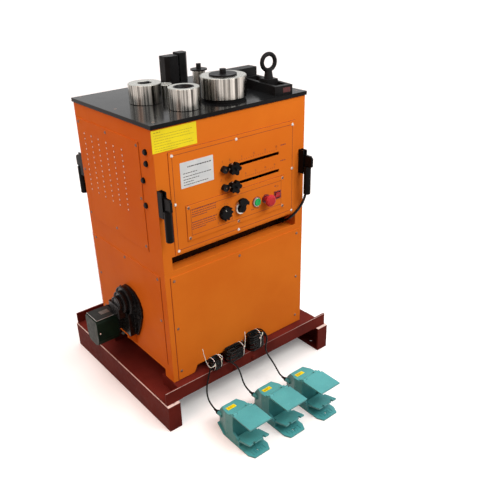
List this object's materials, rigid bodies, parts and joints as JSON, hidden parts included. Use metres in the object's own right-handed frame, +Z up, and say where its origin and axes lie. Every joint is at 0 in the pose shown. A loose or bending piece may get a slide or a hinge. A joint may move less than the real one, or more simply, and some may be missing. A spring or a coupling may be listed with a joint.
{
  "type": "rebar cutter and bender",
  "caption": "Floor-standing electric bar bender and cutter: orange cabinet on a steel skid, bending head, cutter jaws and fence on the table, side gear motor and foot switches.",
  "frame": {"origin": "on the floor, in the middle of the skid, which is the middle of its four floor bolts", "axes": "+X to the machine's right seen from the front, +Y from the front to the back, +Z up"},
  "size_m": [0.802, 0.965, 1.1365],
  "materials": {
    "maroon_paint": "satin brushed-on paint over steel channel",
    "orange_powder": "semi-gloss powder coat",
    "black_enamel": "glossy enamel",
    "black_casting": "painted casting, semi-gloss",
    "oxide_steel": "black oxide",
    "ground_steel": "ground and oiled",
    "worn_steel": "dark ground steel",
    "tool_steel": "ground tool steel",
    "motor_green": "dark hammered enamel",
    "rotor_steel": "bare laminations",
    "gear_steel": "oiled gear steel",
    "teal_casting": "hammered enamel on cast aluminium",
    "black_plastic": "moulded",
    "red_plastic": "moulded",
    "green_plastic": "moulded",
    "screw_steel": "zinc plated",
    "cord_rubber": "satin sheath"
  },
  "bodies": {
    "base": {"skid_runners": "maroon_paint", "cross_rails": "maroon_paint", "deck_plate": "maroon_paint", "base_frame": "orange_powder", "base_front_panel": "orange_powder", "side_panels": "orange_powder", "hole_plugs": "black_plastic", "upper_shell": "orange_powder", "control_panel": "orange_powder", "vent_panels": "orange_powder", "table_plate": "black_enamel", "gearbox_housing": "black_casting", "motor_housing": "motor_green", "gear_casing": "black_casting", "loose_formers": "ground_steel", "fixed_jaw": "oxide_steel", "fixed_blade": "tool_steel", "fence_bar": "oxide_steel", "fence_track": "oxide_steel", "switch_plate": "orange_powder", "switch_bezels": "black_plastic", "handle_brackets": "black_enamel", "pedal_housings": "teal_casting", "cabinet_screws": "screw_steel", "pedal_cords": "cord_rubber", "pedal_coils": "cord_rubber", "mains_cord": "cord_rubber", "mains_coil": "cord_rubber", "mains_plug": "black_plastic"},
    "armature": {"motor_armature": "rotor_steel"},
    "drive": {"drive_shaft": "gear_steel"},
    "bender": {"bending_disc": "oxide_steel", "roller_pins": "oxide_steel", "spindle_gear": "gear_steel"},
    "centre_former": {"centre_former": "ground_steel"},
    "bending_roller": {"bending_roller": "worn_steel"},
    "cutter_jaw": {"moving_jaw": "oxide_steel", "moving_blade": "tool_steel"},
    "track_slider": {"track_slider": "oxide_steel"},
    "eye_bolt": {"eye_bolt": "oxide_steel"},
    "upper_stop": {"upper_stop_slider": "screw_steel"},
    "upper_knob": {"upper_star_knob": "black_plastic"},
    "lower_stop": {"lower_stop_slider": "screw_steel"},
    "lower_knob": {"lower_star_knob": "black_plastic"},
    "speed_knob": {"speed_knob": "black_plastic"},
    "selector": {"selector_lever": "black_plastic"},
    "start": {"start_button": "green_plastic"},
    "stop": {"stop_button": "red_plastic"},
    "power": {"power_rocker": "red_plastic"},
    "front_left_handle": {"front_left_handle": "black_plastic"},
    "front_right_handle": {"front_right_handle": "black_plastic"},
    "back_left_handle": {"back_left_handle": "black_plastic"},
    "back_right_handle": {"back_right_handle": "black_plastic"},
    "treadle_one": {"treadle_one": "teal_casting"},
    "guard_one": {"guard_one": "teal_casting"},
    "treadle_two": {"treadle_two": "teal_casting"},
    "guard_two": {"guard_two": "teal_casting"},
    "treadle_three": {"treadle_three": "teal_casting"},
    "guard_three": {"guard_three": "teal_casting"}
  },
  "joints": [
    {"name": "armature_spin", "type": "hinge", "parent": "base", "child": "armature", "pos_m": [-0.37, 0.045, 0.239], "axis": [1, 0, 0], "continuous": true},
    {"name": "bend", "type": "hinge", "parent": "base", "child": "bender", "pos_m": [0.02, -0.182, 1.02], "axis": [0, 0, 1], "range_deg": [0, 64]},
    {"name": "drive_turn", "type": "hinge", "parent": "base", "child": "drive", "pos_m": [0.02, -0.0644, 0.8], "axis": [0, 0, 1], "range_deg": [-195, 0]},
    {"name": "former_spin", "type": "hinge", "parent": "bender", "child": "centre_former", "pos_m": [0.02, -0.182, 1.05], "axis": [0, 0, 1], "continuous": true},
    {"name": "roller_spin", "type": "hinge", "parent": "bender", "child": "bending_roller", "pos_m": [0.02, -0.056, 1.05], "axis": [0, 0, 1], "continuous": true},
    {"name": "cutter_stroke", "type": "slide", "parent": "base", "child": "cutter_jaw", "axis": [1, 0, 0], "range_m": [-0.028, 0]},
    {"name": "track_slide", "type": "slide", "parent": "base", "child": "track_slider", "axis": [0.1305, 0.9914, 0], "range_m": [-0.042, 0.072]},
    {"name": "eye_turn", "type": "hinge", "parent": "track_slider", "child": "eye_bolt", "pos_m": [0.19631, -0.19304, 1.07], "axis": [0, 0, 1], "range_deg": [-180, 180]},
    {"name": "upper_stop_slide", "type": "slide", "parent": "base", "child": "upper_stop", "axis": [1, 0, 0], "range_m": [-0.017, 0.188]},
    {"name": "upper_knob_turn", "type": "hinge", "parent": "upper_stop", "child": "upper_knob", "pos_m": [-0.047, -0.303, 0.838], "axis": [0, 1, 0], "range_deg": [0, 360]},
    {"name": "lower_stop_slide", "type": "slide", "parent": "base", "child": "lower_stop", "axis": [1, 0, 0], "range_m": [-0.017, 0.188]},
    {"name": "lower_knob_turn", "type": "hinge", "parent": "lower_stop", "child": "lower_knob", "pos_m": [-0.047, -0.303, 0.7795], "axis": [0, 1, 0], "range_deg": [0, 360]},
    {"name": "speed_turn", "type": "hinge", "parent": "base", "child": "speed_knob", "pos_m": [-0.07808, -0.305, 0.697], "axis": [0, 1, 0], "range_deg": [0, 270]},
    {"name": "selector_turn", "type": "hinge", "parent": "base", "child": "selector", "pos_m": [-0.01694, -0.305, 0.697], "axis": [0, 1, 0], "range_deg": [-45, 45]},
    {"name": "start_press", "type": "slide", "parent": "base", "child": "start", "axis": [0, 1, 0], "range_m": [0, 0.004], "stiffness_N_per_m": 600, "springref_m": -0.001},
    {"name": "stop_press", "type": "slide", "parent": "base", "child": "stop", "axis": [0, 1, 0], "range_m": [0, 0.006], "stiffness_N_per_m": 600, "springref_m": -0.001},
    {"name": "power_rock", "type": "hinge", "parent": "base", "child": "power", "pos_m": [0.14345, -0.292, 0.697], "axis": [1, 0, 0], "range_deg": [-12, 0]},
    {"name": "front_left_fold", "type": "hinge", "parent": "base", "child": "front_left_handle", "pos_m": [-0.305, -0.305, 0.807], "axis": [-1, 0, 0], "range_deg": [0, 90]},
    {"name": "back_left_fold", "type": "hinge", "parent": "base", "child": "back_left_handle", "pos_m": [-0.305, 0.197, 0.807], "axis": [1, 0, 0], "range_deg": [0, 90]},
    {"name": "front_right_fold", "type": "hinge", "parent": "base", "child": "front_right_handle", "pos_m": [0.25, -0.305, 0.807], "axis": [-1, 0, 0], "range_deg": [0, 90]},
    {"name": "back_right_fold", "type": "hinge", "parent": "base", "child": "back_right_handle", "pos_m": [0.25, 0.197, 0.807], "axis": [1, 0, 0], "range_deg": [0, 90]},
    {"name": "treadle_one_press", "type": "hinge", "parent": "base", "child": "treadle_one", "pos_m": [-0.2035, -0.526, 0.024], "axis": [1, 0, 0], "range_deg": [0, 10], "stiffness_Nm_per_rad": 2, "springref_deg": -11.46},
    {"name": "guard_one_lift", "type": "hinge", "parent": "base", "child": "guard_one", "pos_m": [-0.2035, -0.512, 0.114], "axis": [-1, 0, 0], "range_deg": [0, 95]},
    {"name": "treadle_two_press", "type": "hinge", "parent": "base", "child": "treadle_two", "pos_m": [-0.0565, -0.535, 0.024], "axis": [1, 0, 0], "range_deg": [0, 10], "stiffness_Nm_per_rad": 2, "springref_deg": -11.46},
    {"name": "guard_two_lift", "type": "hinge", "parent": "base", "child": "guard_two", "pos_m": [-0.0565, -0.521, 0.114], "axis": [-1, 0, 0], "range_deg": [0, 95]},
    {"name": "treadle_three_press", "type": "hinge", "parent": "base", "child": "treadle_three", "pos_m": [0.0835, -0.548, 0.024], "axis": [1, 0, 0], "range_deg": [0, 10], "stiffness_Nm_per_rad": 2, "springref_deg": -11.46},
    {"name": "guard_three_lift", "type": "hinge", "parent": "base", "child": "guard_three", "pos_m": [0.0835, -0.534, 0.114], "axis": [-1, 0, 0], "range_deg": [0, 95]}
  ],
  "couplings": [
    {"joint": "drive_turn", "follows": "bend", "ratio": -3.0345}
  ]
}
